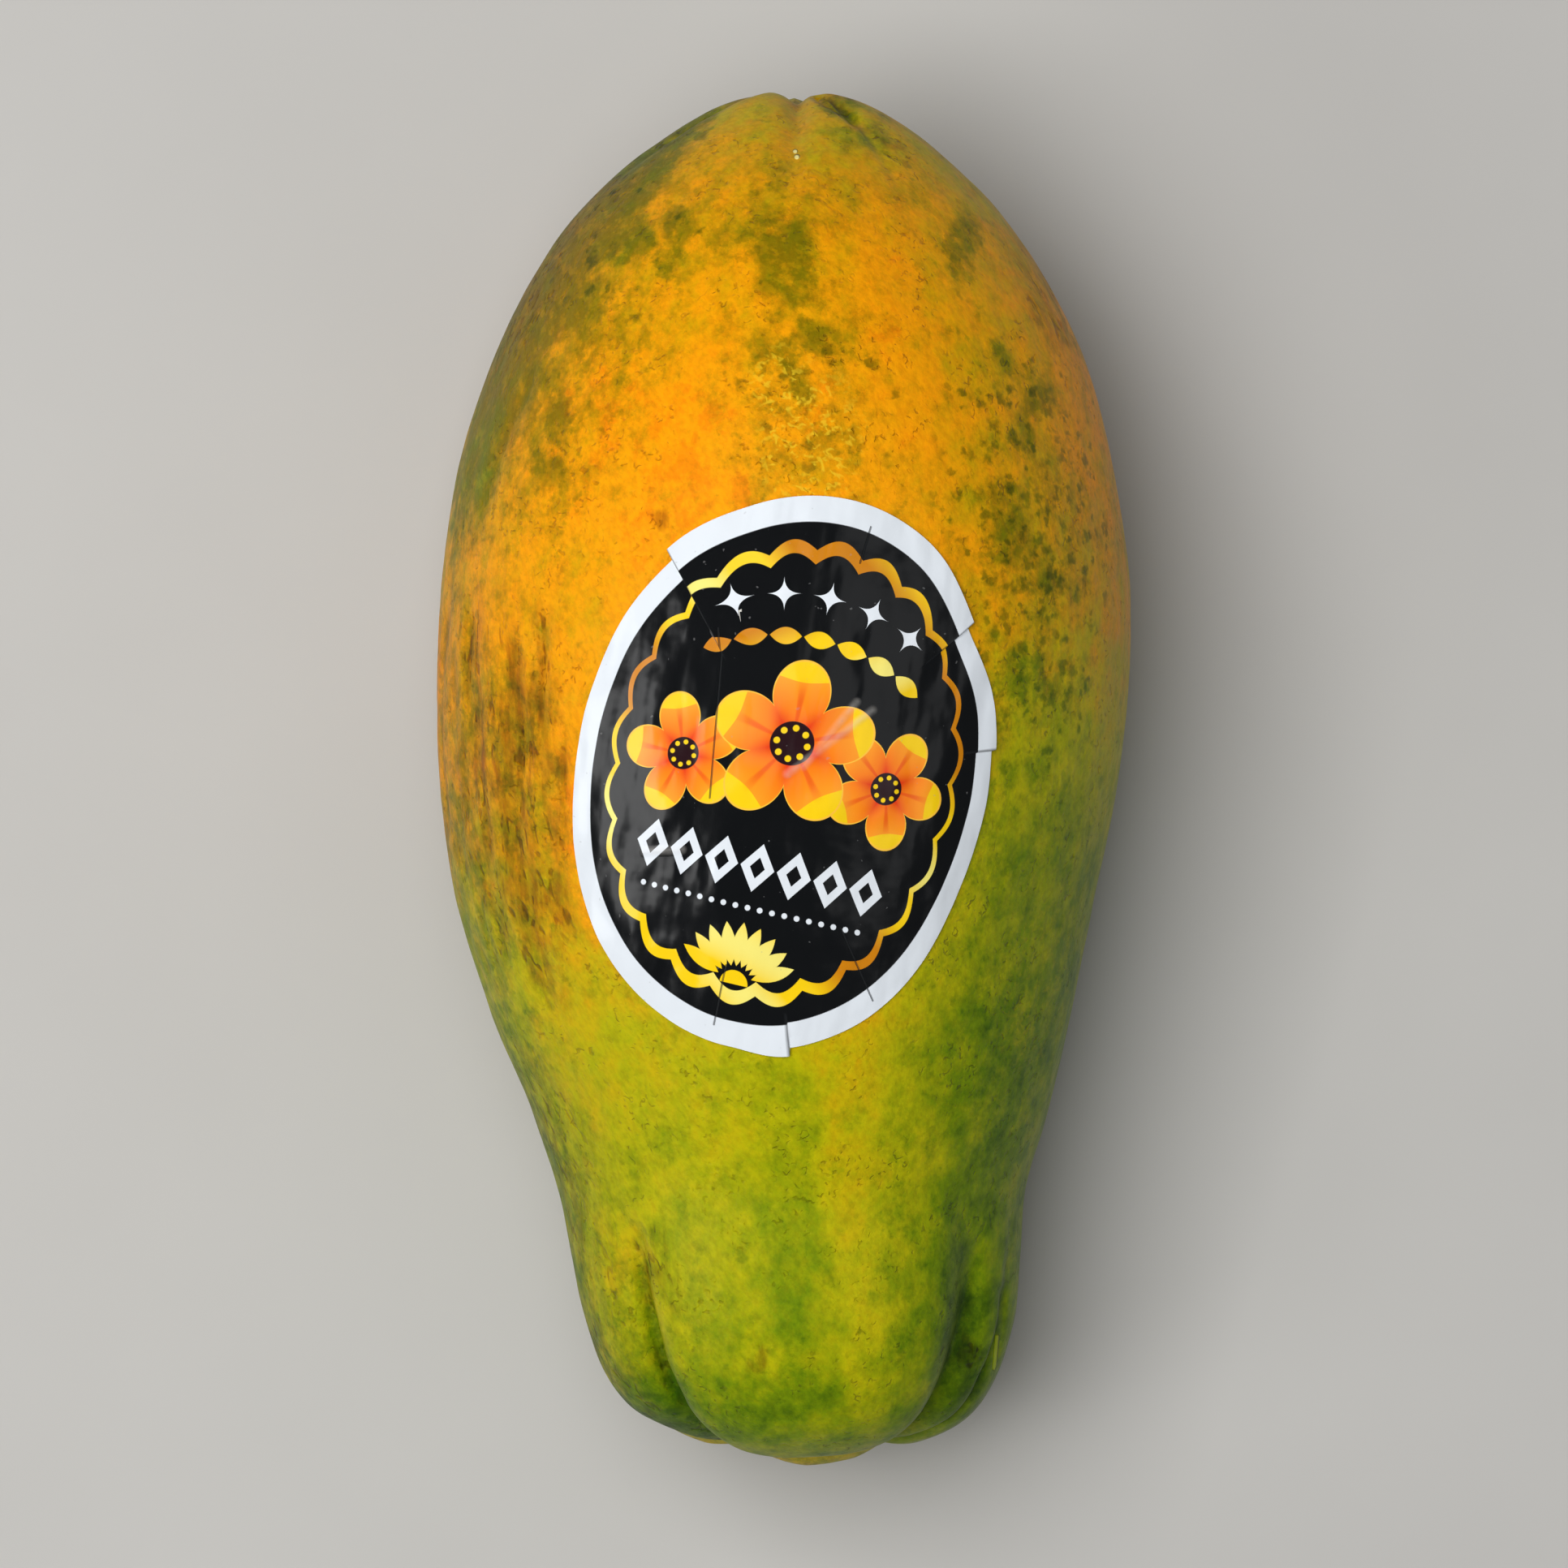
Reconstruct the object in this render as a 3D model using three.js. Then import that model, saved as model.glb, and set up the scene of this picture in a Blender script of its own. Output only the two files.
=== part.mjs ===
// A large papaya of the long orchard kind, lying on its side on a level surface, with an oval label stuck on it.
//
// Millimetres, +Z up. The fruit lies along Y: its blossom end points to +Y and its stem end to -Y.
// The origin is on the surface that the fruit lies on, under the middle of its outline.
//
// The fruit is one solid. Its skin is one function of two numbers: how far along the side profile a point
// is, from the blossom scar to the cut stalk, and its angle round the fruit, which is zero on top and
// grows towards +X. Furrows, ribs and the bed it lies on are worked into that function.

import * as THREE from "three";
import { mergeVertices } from "three/addons/utils/BufferGeometryUtils.js";

// Driving dimensions of the fruit
const HEIGHT_SHARE = 0.93; // height of a cross-section over its width
const AXIS_HEIGHT = 55.9; // of the core line over the surface below, so that the lowest skin is pressed flat
const LEAN = 0.045; // rise of the core line towards the blossom end, over its length
const RIB_COUNT = 5;
const RIB_HEIGHT = 0.7; // of the five soft ribs along the belly
const RIB_TURN = 12; // degrees from the top to the first rib
const LOW_LOBE_REACH = 7.5; // how much further the stem end reaches at its lowest lobe than on top
const LOW_LOBE_TURN = 176; // degrees from the top to the middle of that lobe
const TOP_LOBE_REACH = 2.6; // how much further it reaches at its top lobe than right beside it
const TOP_LOBE_TURN = 4; // degrees from the top to the middle of that lobe
const TOP_LOBE_FLAT = 34; // degrees either side of that middle up to which the reach is full
const TOP_LOBE_EDGE = 52; // degrees either side of that middle where the reach has faded out

// The side profile: place along Y, half of the width, and how far the section's middle is off to +X.
// It starts in the blossom scar and ends in the middle of the stalk's cut face.
const PROFILE = [
  [126.6, 0, 2.1],
  [126.3, 5.4, 2.1],
  [124.9, 11.6, 2.1],
  [120.8, 19.5, 2],
  [113, 29.5, 1],
  [100.2, 41, 0.3],
  [81.4, 52.1, 0.6],
  [56.6, 60.1, -0.1],
  [28.6, 63.2, -0.2],
  [0.6, 61.9, -1.2],
  [-21.4, 58.1, -2],
  [-41.4, 52.9, -0.9],
  [-59.4, 47.2, 0.6],
  [-73.4, 42.8, 1],
  [-85.4, 41.4, 1.7],
  [-96.4, 39.9, 2.4],
  [-106.4, 36.7, 2.5],
  [-113.7, 31.6, 2.8],
  [-118.2, 24.2, 3.2],
  [-120.3, 16.6, 3.3],
  [-119, 11.2, 3.3],
  [-114.6, 8.7, 3.3],
  [-112.3, 7.4, 3.3],
  [-114, 6.2, 3.3],
  [-117, 5.7, 3.3],
  [-117.9, 4.5, 3.3],
  [-117.8, 0, 3.3],
];

// The furrows between the lobes of each end. angle is in degrees round the fruit. depth, and the widths of
// its two walls, towards smaller and larger angles, are in millimetres.
const BLOSSOM_FURROWS = [
  { angle: 1, depth: 2.9, before: 2.6, after: 2.4 },
  { angle: 33, depth: 1.3, before: 1.1, after: 1.8 },
  { angle: 84, depth: 2.4, before: 2.8, after: 2.8 },
  { angle: 150, depth: 2.6, before: 3, after: 2.6 },
  { angle: 216, depth: 2.3, before: 2.6, after: 3 },
  { angle: 289, depth: 2.6, before: 2.8, after: 2.6 },
];
const BLOSSOM_REACH = 24; // how far from the blossom scar its furrows run, along Y
const STEM_FURROWS = [
  { angle: -46, depth: 4.4, before: 3.4, after: 3.6 },
  { angle: 55, depth: 4, before: 6, after: 3.8 },
  { angle: 71, depth: 1.5, before: 2, after: 2.6 },
  { angle: 128, depth: 5.2, before: 6, after: 6 },
  { angle: 213, depth: 4.2, before: 5, after: 7 },
  { angle: 262, depth: 3.6, before: 6, after: 5 },
];
const STEM_FURROW_START = -69.4; // along Y, where they begin
const STEM_FURROW_FULL = -105.4; // along Y, where they are at their deepest
const LOBE_ANCHOR = -83.4; // along Y, the point on the core line that the stem end's lobes swell away from

// Driving dimensions of the label
const LABEL_HALF_WIDTH = 39; // measured round the skin
const LABEL_HALF_LENGTH = 49.2;
const LABEL_TILT = 13; // degrees, its top end towards +X
const LABEL_ALONG = 1.9; // its middle along Y
const LABEL_ANGLE = 0.8; // degrees, its middle round the fruit
const LABEL_GAP = 0.3;
const LABEL_THICKNESS = 0.6;
// Where the label is pleated to follow the skin: clock angle of the pleat in degrees from the label's
// right-hand side, how far the edges of its upper and lower layers stand out, and over how many degrees that
// fades. The upper layer lies at larger clock angles, or at smaller ones where the fade is negative.
const PLEATS = [
  { clock: 138.5, upper: 0.9, lower: -0.8, fade: -24 },
  { clock: 44.5, upper: -1.1, lower: -2.3, fade: 22 },
  { clock: 15.3, upper: 0.3, lower: -0.4, fade: 13 },
  { clock: 287, upper: 1.1, lower: 0, fade: -16 },
];

// How finely the solids are cut into flat faces
const ROUND_STEPS = 80;
const ROW_SPACING = 6; // along the profile, though each station has a row of its own
const LABEL_RINGS = 7;
const LABEL_SPOKES = 52;

const radians = THREE.MathUtils.degToRad;
const smooth = THREE.MathUtils.smoothstep;

const profileCurve = new THREE.CatmullRomCurve3(
  PROFILE.map((station) => new THREE.Vector3(...station)),
  false,
  "centripetal",
);

// How deep a set of furrows is at an angle, where the section is `radius` wide each way.
function furrowDepth(furrows, angle, radius) {
  let deepest = 0;
  for (const furrow of furrows) {
    const turn = angle - radians(furrow.angle);
    if (Math.cos(turn) <= 0) continue;
    const aside = radius * Math.sin(turn);
    const width = aside < 0 ? furrow.before : furrow.after;
    deepest = Math.max(deepest, furrow.depth / (1 + (aside / width) ** 2));
  }
  return deepest;
}

// How much the skin is pulled in by the ribs' valleys, the same way on every station of the belly.
function ribValley(angle) {
  return RIB_HEIGHT * 0.5 * (1 - Math.cos(RIB_COUNT * (angle - radians(RIB_TURN))));
}

// How much further the stem end reaches at an angle, at its lowest lobe and its top lobe.
function lobeReach(angle) {
  const low = (0.5 * (1 + Math.cos(angle - radians(LOW_LOBE_TURN)))) ** 2;
  const edge = Math.cos(radians(TOP_LOBE_EDGE));
  const flat = Math.cos(radians(TOP_LOBE_FLAT));
  const top = smooth(Math.cos(angle - radians(TOP_LOBE_TURN)), edge, flat);
  return LOW_LOBE_REACH * low + TOP_LOBE_REACH * top;
}

// Moves a point towards another by a distance.
function pull(point, target, distance) {
  const way = target.clone().sub(point);
  const length = way.length();
  if (length > 1e-6) point.addScaledVector(way, distance / length);
}

// The skin at a share of the profile, from 0 at the blossom scar to 1 at the stalk's face, and an angle.
function skinPoint(share, angle) {
  const station = profileCurve.getPoint(share);
  const along = station.x;
  const radius = Math.max(station.y, 0);
  const middle = new THREE.Vector3(station.z, along, AXIS_HEIGHT + LEAN * along);
  const point = new THREE.Vector3(
    middle.x + radius * Math.sin(angle),
    along,
    middle.z + radius * HEIGHT_SHARE * Math.cos(angle),
  );
  const belly = smooth(along, -112, -60) * (1 - smooth(along, 70, 116));
  pull(point, middle, Math.min(radius, ribValley(angle) * belly));

  const fromTip = PROFILE[0][0] - along;
  if (fromTip < BLOSSOM_REACH) {
    const core = new THREE.Vector3(middle.x, PROFILE[0][0] - BLOSSOM_REACH, middle.z);
    const fade = 1 - smooth(fromTip, 0, BLOSSOM_REACH);
    pull(point, core, furrowDepth(BLOSSOM_FURROWS, angle, radius) * fade);
  }
  if (along < STEM_FURROW_START) {
    const anchor = new THREE.Vector3(middle.x, LOBE_ANCHOR, middle.z);
    const grown = 1 - smooth(along, STEM_FURROW_FULL, STEM_FURROW_START);
    const onLobe = smooth(radius, 9, 20);
    pull(point, anchor, furrowDepth(STEM_FURROWS, angle, radius) * grown * onLobe);
    point.y -= lobeReach(angle) * grown * smooth(radius, 6, 22);
  }
  point.z = Math.max(point.z, 0);
  return point;
}

// Joins rows of points into one closed surface. Each row is a ring, and the first and last are single points.
function closedRings(rings) {
  const triangles = [];
  const add = (a, b, c) => triangles.push(a, b, c);
  for (let row = 0; row + 1 < rings.length; row++) {
    const here = rings[row];
    const next = rings[row + 1];
    const count = Math.max(here.length, next.length);
    for (let i = 0; i < count; i++) {
      const j = (i + 1) % count;
      if (here.length === 1) add(here[0], next[i], next[j]);
      else if (next.length === 1) add(here[i], next[0], here[j]);
      else {
        add(here[i], next[i], next[j]);
        add(here[i], next[j], here[j]);
      }
    }
  }
  const geometry = new THREE.BufferGeometry().setFromPoints(triangles);
  const merged = mergeVertices(geometry, 1e-4);
  merged.computeVertexNormals();
  return merged;
}

// The shares of the profile at which the fruit has a row of points.
function rowShares() {
  const gaps = PROFILE.length - 1;
  const shares = [];
  for (let gap = 0; gap < gaps; gap++) {
    const [along, radius] = PROFILE[gap];
    const [nextAlong, nextRadius] = PROFILE[gap + 1];
    const length = Math.hypot(nextAlong - along, nextRadius - radius);
    const rows = Math.max(1, Math.round(length / ROW_SPACING));
    for (let row = 0; row < rows; row++) shares.push((gap + row / rows) / gaps);
  }
  shares.push(1);
  return shares;
}

function fruitGeometry() {
  const rings = rowShares().map((share) => {
    const count = share === 0 || share === 1 ? 1 : ROUND_STEPS;
    const ring = [];
    for (let i = 0; i < count; i++) ring.push(skinPoint(share, (i * 2 * Math.PI) / ROUND_STEPS));
    return ring;
  });
  return closedRings(rings);
}

// The share of the profile at which the belly is at a place along Y.
function shareAt(along) {
  let low = 0;
  let high = 0.7;
  for (let step = 0; step < 40; step++) {
    const middle = (low + high) / 2;
    if (profileCurve.getPoint(middle).x > along) low = middle;
    else high = middle;
  }
  return low;
}

// A point over the skin for a place on the flat label: across and up from its middle, and height off the skin.
function onLabel(across, up, height) {
  const tilt = radians(LABEL_TILT);
  const round = across * Math.cos(tilt) + up * Math.sin(tilt);
  const along = LABEL_ALONG + up * Math.cos(tilt) - across * Math.sin(tilt);
  const share = shareAt(along);
  const angle = radians(LABEL_ANGLE) + round / profileCurve.getPoint(share).y;
  const point = skinPoint(share, angle);
  const step = 0.002;
  const lengthways = skinPoint(share + step, angle).sub(skinPoint(share - step, angle));
  const roundways = skinPoint(share, angle + step).sub(skinPoint(share, angle - step));
  const outward = lengthways.cross(roundways).normalize();
  return point.addScaledVector(outward, height);
}

// How far the pleats push the label's edge out at a clock angle.
function pleatStep(clock) {
  let out = 0;
  for (const pleat of PLEATS) {
    const turn = (((clock - pleat.clock) * Math.sign(pleat.fade) + 900) % 360) - 180;
    const near = 1 - smooth(Math.abs(turn), 0, Math.abs(pleat.fade));
    out += (turn > 0 ? pleat.upper : pleat.lower) * near;
  }
  return out;
}

// Clock angles for the label's spokes: evenly spaced, with a close pair at each pleat's step.
function spokeClocks() {
  const clocks = [];
  for (let i = 0; i < LABEL_SPOKES; i++) clocks.push((i * 360) / LABEL_SPOKES);
  const apart = 0.8;
  const kept = clocks.filter((c) => PLEATS.every((p) => Math.abs(c - p.clock) > 2 * apart));
  for (const pleat of PLEATS) kept.push(pleat.clock - apart, pleat.clock + apart);
  return kept.sort((a, b) => a - b);
}

function labelGeometry() {
  const clocks = spokeClocks();
  const ringAt = (share, height) =>
    clocks.map((clock) => {
      const out = 1 + (pleatStep(clock) * share ** 4) / LABEL_HALF_WIDTH;
      const across = LABEL_HALF_WIDTH * out * share * Math.cos(radians(clock));
      const up = LABEL_HALF_LENGTH * out * share * Math.sin(radians(clock));
      return onLabel(across, up, height);
    });
  const top = LABEL_GAP + LABEL_THICKNESS;
  const rings = [[onLabel(0, 0, top)]];
  for (let ring = 1; ring <= LABEL_RINGS; ring++) rings.push(ringAt(ring / LABEL_RINGS, top));
  for (let ring = LABEL_RINGS; ring >= 1; ring--) rings.push(ringAt(ring / LABEL_RINGS, LABEL_GAP));
  rings.push([onLabel(0, 0, LABEL_GAP)]);
  return closedRings(rings);
}

function namedMesh(name, geometry, look) {
  const mesh = new THREE.Mesh(geometry, new THREE.MeshStandardMaterial(look));
  mesh.name = name;
  return mesh;
}

const papaya = new THREE.Group();
papaya.add(namedMesh("fruit", fruitGeometry(), { color: 0xc98f10, roughness: 0.48, metalness: 0 }));
papaya.add(namedMesh("label", labelGeometry(), { color: 0x16181a, roughness: 0.22, metalness: 0 }));

export default papaya;
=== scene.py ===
# A large ripening papaya with an oval label, lying on its side on a pale floor, seen from straight above.
#
# Sizes are in millimetres until a mesh is made, which is in metres. The frame is the model's own: +Y
# towards the blossom end, +Z up, the origin on the floor under the middle of the fruit.

import bpy
import functools
import math
import numpy as np
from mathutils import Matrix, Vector


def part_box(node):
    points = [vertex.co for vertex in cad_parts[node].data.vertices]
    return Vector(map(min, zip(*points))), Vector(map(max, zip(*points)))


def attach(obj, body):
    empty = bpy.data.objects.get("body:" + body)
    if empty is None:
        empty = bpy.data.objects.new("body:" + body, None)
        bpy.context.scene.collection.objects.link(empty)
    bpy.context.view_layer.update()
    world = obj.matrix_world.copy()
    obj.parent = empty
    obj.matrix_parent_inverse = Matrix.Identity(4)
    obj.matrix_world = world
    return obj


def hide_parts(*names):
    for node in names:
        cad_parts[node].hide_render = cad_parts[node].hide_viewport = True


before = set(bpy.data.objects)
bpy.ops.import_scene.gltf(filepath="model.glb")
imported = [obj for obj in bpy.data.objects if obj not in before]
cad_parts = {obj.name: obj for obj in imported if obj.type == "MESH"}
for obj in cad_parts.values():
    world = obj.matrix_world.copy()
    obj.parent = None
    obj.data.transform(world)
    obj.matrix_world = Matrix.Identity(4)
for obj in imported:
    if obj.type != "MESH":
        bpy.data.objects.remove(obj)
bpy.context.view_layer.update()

MM = 0.001

# Driving dimensions of the fruit, as in the solid model
HEIGHT_SHARE = 0.93
AXIS_HEIGHT = 55.9
LEAN = 0.045
RIB_COUNT = 5
RIB_HEIGHT = 0.7
RIB_TURN = 12
LOW_LOBE_REACH = 7.5
LOW_LOBE_TURN = 176
TOP_LOBE_REACH = 2.6
TOP_LOBE_TURN = 4
TOP_LOBE_FLAT = 34
TOP_LOBE_EDGE = 52
PROFILE = np.array([
    (126.6, 0, 2.1),
    (126.3, 5.4, 2.1),
    (124.9, 11.6, 2.1),
    (120.8, 19.5, 2),
    (113, 29.5, 1),
    (100.2, 41, 0.3),
    (81.4, 52.1, 0.6),
    (56.6, 60.1, -0.1),
    (28.6, 63.2, -0.2),
    (0.6, 61.9, -1.2),
    (-21.4, 58.1, -2),
    (-41.4, 52.9, -0.9),
    (-59.4, 47.2, 0.6),
    (-73.4, 42.8, 1),
    (-85.4, 41.4, 1.7),
    (-96.4, 39.9, 2.4),
    (-106.4, 36.7, 2.5),
    (-113.7, 31.6, 2.8),
    (-118.2, 24.2, 3.2),
    (-120.3, 16.6, 3.3),
    (-119, 11.2, 3.3),
    (-114.6, 8.7, 3.3),
    (-112.3, 7.4, 3.3),
    (-114, 6.2, 3.3),
    (-117, 5.7, 3.3),
    (-117.9, 4.5, 3.3),
    (-117.8, 0, 3.3),
])
TIP_ALONG = PROFILE[0][0]
BLOSSOM_REACH = 24
STEM_FURROW_START = -69.4
STEM_FURROW_FULL = -105.4
LOBE_ANCHOR = -83.4
# Furrows between the lobes: angle in degrees round the fruit, depth, and the widths of the two walls
BLOSSOM_FURROWS = [
    (1, 2.9, 2.6, 2.4),
    (33, 1.3, 1.1, 1.8),
    (84, 2.4, 2.8, 2.8),
    (150, 2.6, 3, 2.6),
    (216, 2.3, 2.6, 3),
    (289, 2.6, 2.8, 2.6),
]
STEM_FURROWS = [
    (-46, 4.4, 3.4, 3.6),
    (55, 4, 6, 3.8),
    (71, 1.5, 2, 2.6),
    (128, 5.2, 6, 6),
    (213, 4.2, 5, 7),
    (262, 3.6, 6, 5),
]

# The skin's mesh
SKIN_ROWS = 255
SKIN_COLUMNS = 380
SKIN_SEED = 7

# Unevenness that the solid model is too coarse for: height, size of the bumps, and the share to which
# places are squeezed lengthways, which draws the bumps out
UNEVENNESS = [(0.5, 44, 1), (0.2, 17, 1), (0.12, 7, 0.28), (0.05, 4.5, 1)]
DENT_DEPTH = 0.8
FLOOR_CREASE_DEPTH = 0.55
FLOOR_CREASE_WIDTH = 0.8
# Creases seen from above: points (x, y), depth and half width
CREASES = [
    ([(-26.2, -80.6), (-25, -92), (-22.4, -104), (-19.5, -111)], 1, 1.2),
    ([(31.6, -77), (33.4, -92), (33.6, -107)], 0.5, 2.2),
    ([(39.4, -92), (39.8, -99), (38.2, -107)], 0.35, 0.7),
    ([(5.6, 124.6), (9.2, 122.2), (12.6, 119.4)], 0.9, 0.8),
    ([(-56, 29), (-55, 14), (-56.5, -4)], 0.5, 1.4),
    ([(-48, 24), (-47.4, 6), (-48.6, -12)], 0.75, 1.7),
    ([(-43, 30), (-43.4, 14), (-41.2, 2)], 0.6, 1.5),
    ([(-38.6, 12), (-40.4, -4), (-40, -18)], 0.45, 1.5),
    ([(-46.4, -14), (-44.6, -28), (-42, -37)], 0.4, 1.8),
    ([(-45.5, 72), (-50, 62), (-53.5, 50)], 0.4, 1.1),
]


def smooth(value, low, high):
    """Rises from 0 at low to 1 at high, with level ends."""
    share = np.clip((value - low) / (high - low), 0, 1)
    return share * share * (3 - 2 * share)


def knot_gap(start, end):
    """How far apart a centripetal spline's knots are for two of its points."""
    return np.sum((end - start) ** 2, -1)[..., None] ** 0.25


def profile_at(share):
    """The side profile's (along, radius, sideways shift) at shares from 0 to 1, on a centripetal spline."""
    place = share * (len(PROFILE) - 1)
    gap = np.minimum(place.astype(int), len(PROFILE) - 2)
    part = (place - gap)[..., None]
    points = np.vstack([2 * PROFILE[0] - PROFILE[1], PROFILE, 2 * PROFILE[-1] - PROFILE[-2]])
    before, start, end, after = (points[gap + step] for step in range(4))
    first = knot_gap(before, start)
    middle = knot_gap(start, end)
    last = knot_gap(end, after)
    leaving = (start - before) / first - (end - before) / (first + middle) + (end - start) / middle
    arriving = (end - start) / middle - (after - start) / (middle + last) + (after - end) / last
    leaving = leaving * middle
    arriving = arriving * middle
    square = 3 * (end - start) - 2 * leaving - arriving
    cube = 2 * (start - end) + leaving + arriving
    return start + part * (leaving + part * (square + part * cube))


def furrow_depth(furrows, angle, radius):
    """How deep the deepest of some furrows is at an angle, where the section is radius wide each way."""
    deepest = np.zeros_like(angle)
    for degrees, depth, width_before, width_after in furrows:
        turn = angle - math.radians(degrees)
        aside = radius * np.sin(turn)
        width = np.where(aside < 0, width_before, width_after)
        deepest = np.maximum(deepest, np.where(np.cos(turn) > 0, depth / (1 + (aside / width) ** 2), 0))
    return deepest


def furrow_floor(angle, radius, half_width):
    """How near places are to the floors of the stem end's furrows, from 0 to 1."""
    floors = [(degrees, 1, half_width, half_width) for degrees, *_ in STEM_FURROWS]
    return furrow_depth(floors, angle, radius)


def lobe_reach(angle):
    """How much further the stem end reaches at an angle, at its lowest lobe and its top lobe."""
    low = (0.5 * (1 + np.cos(angle - math.radians(LOW_LOBE_TURN)))) ** 2
    edge = math.cos(math.radians(TOP_LOBE_EDGE))
    flat = math.cos(math.radians(TOP_LOBE_FLAT))
    top = smooth(np.cos(angle - math.radians(TOP_LOBE_TURN)), edge, flat)
    return LOW_LOBE_REACH * low + TOP_LOBE_REACH * top


def pull(points, target, distance):
    """The points moved towards the target by a distance."""
    way = target - points
    length = np.linalg.norm(way, axis=-1, keepdims=True)
    return points + way * (distance[..., None] / np.maximum(length, 1e-6))


def skin_points(share, angle):
    """The skin at shares of the profile and angles round the fruit, as the solid model has it."""
    along, radius, shift = np.moveaxis(profile_at(share), -1, 0)
    radius = np.maximum(radius, 0)
    axis = AXIS_HEIGHT + LEAN * along
    middle = np.stack([shift, along, axis], -1)
    across = shift + radius * np.sin(angle)
    level = axis + radius * HEIGHT_SHARE * np.cos(angle)
    points = np.stack([across, along, level], -1)

    belly = smooth(along, -112, -60) * (1 - smooth(along, 70, 116))
    valley = RIB_HEIGHT * 0.5 * (1 - np.cos(RIB_COUNT * (angle - math.radians(RIB_TURN))))
    points = pull(points, middle, np.minimum(radius, valley * belly))

    core = np.stack([shift, np.full_like(along, TIP_ALONG - BLOSSOM_REACH), axis], -1)
    fade = 1 - smooth(TIP_ALONG - along, 0, BLOSSOM_REACH)
    points = pull(points, core, furrow_depth(BLOSSOM_FURROWS, angle, radius) * fade)

    grown = 1 - smooth(along, STEM_FURROW_FULL, STEM_FURROW_START)
    anchor = np.stack([shift, np.full_like(along, LOBE_ANCHOR), axis], -1)
    on_lobe = smooth(radius, 9, 20)
    points = pull(points, anchor, furrow_depth(STEM_FURROWS, angle, radius) * grown * on_lobe)
    points[..., 1] -= lobe_reach(angle) * grown * smooth(radius, 6, 22)
    points[..., 2] = np.maximum(points[..., 2], 0)
    return points


def noise(points, size, seed):
    """Smooth random values of about -1 to 1 in space, in bumps that are size across."""
    draw = np.random.default_rng(seed)
    slopes = draw.normal(size=(256, 3))
    slopes /= np.linalg.norm(slopes, axis=1, keepdims=True)
    order = draw.permutation(256)
    place = points / size
    cell = np.floor(place).astype(int)
    part = place - cell
    fade = part ** 3 * (part * (part * 6 - 15) + 10)
    total = np.zeros(points.shape[:-1])
    for corner in np.ndindex(2, 2, 2):
        x, y, z = np.moveaxis(cell + corner, -1, 0)
        slope = slopes[order[(order[(order[x % 256] + y) % 256] + z) % 256]]
        weight = np.prod(np.where(np.array(corner) == 1, fade, 1 - fade), -1)
        total += weight * np.sum(slope * (part - corner), -1)
    return total * 1.7


def distance_to_path(x, y, path):
    """How far places seen from above are from a path of points."""
    nearest = np.full(x.shape, 1e9)
    for (x0, y0), (x1, y1) in zip(path, path[1:]):
        length = (x1 - x0) ** 2 + (y1 - y0) ** 2
        share = np.clip(((x - x0) * (x1 - x0) + (y - y0) * (y1 - y0)) / length, 0, 1)
        nearest = np.minimum(nearest, np.hypot(x - x0 - share * (x1 - x0), y - y0 - share * (y1 - y0)))
    return nearest


def flank_dents(points):
    """Long shallow dents on the left flank, from 0 to about 1."""
    x, y, _ = np.moveaxis(points, -1, 0)
    flank = smooth(-x, 32, 42) * smooth(y, -46, -28) * (1 - smooth(y, 26, 38))
    return flank * np.maximum(noise(points * (1, 0.22, 1), 4.2, SKIN_SEED + 4), 0)


def crease_depth(x, y):
    """How deep the creases are at places seen from above."""
    depth_here = np.zeros_like(x)
    for path, depth, width in CREASES:
        depth_here += depth * np.exp(-(distance_to_path(x, y, path) / width) ** 2)
    return depth_here


def relief(points, share, angle):
    """The skin's finer unevenness: how far each point is moved outwards."""
    x, y, z = np.moveaxis(points, -1, 0)
    radius = profile_at(share)[..., 1]
    height = np.zeros_like(x)
    for step, (bump, size, squeeze) in enumerate(UNEVENNESS):
        height += bump * noise(points * (1, squeeze, 1), size, SKIN_SEED + step)
    height -= DENT_DEPTH * flank_dents(points)
    height -= crease_depth(x, y) * smooth(np.cos(angle), 0.05, 0.3)
    on_lobes = smooth(-y, 88, 104) * smooth(radius, 9, 18)
    height -= FLOOR_CREASE_DEPTH * furrow_floor(angle, radius, FLOOR_CREASE_WIDTH) * on_lobes
    return height * smooth(z, 0, 5) * smooth(radius, 1, 9)


def outward(share, angle):
    """The skin's outward direction, from its slopes both ways."""
    step = 1e-3
    inner = np.clip(share, 2 * step, 1 - 2 * step)
    lengthways = skin_points(inner + step, angle) - skin_points(inner - step, angle)
    round_way = skin_points(inner, angle + step) - skin_points(inner, angle - step)
    normal = np.cross(lengthways, round_way)
    return normal / np.maximum(np.linalg.norm(normal, axis=-1, keepdims=True), 1e-9)


def surface(share, angle, height=0.0):
    """Points a height over the skin, with its finer unevenness."""
    points = skin_points(share, angle)
    moved = points + outward(share, angle) * (relief(points, share, angle) + height)[..., None]
    moved[..., 2] = np.maximum(moved[..., 2], 0)
    return moved


def row_shares():
    """Shares of the profile that are evenly spaced along it, with the two ends."""
    dense = np.linspace(0, 1, 4000)
    line = profile_at(dense)[:, :2]
    length = np.concatenate([[0], np.cumsum(np.linalg.norm(np.diff(line, axis=0), axis=1))])
    return np.interp(np.linspace(0, length[-1], SKIN_ROWS + 1), length, dense)


# How ripe the skin is along the fruit, from 0 for green to 1 for orange: (y, ripeness)
RIPENESS_ALONG = [
    (-126, 0.36), (-117, 0.26), (-108, 0.3), (-94, 0.35), (-74, 0.38), (-53, 0.47), (-34, 0.6),
    (-14, 0.78), (9, 0.85), (50, 0.88), (70, 0.9), (91, 0.82), (112, 0.7), (124, 0.6),
]
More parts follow.
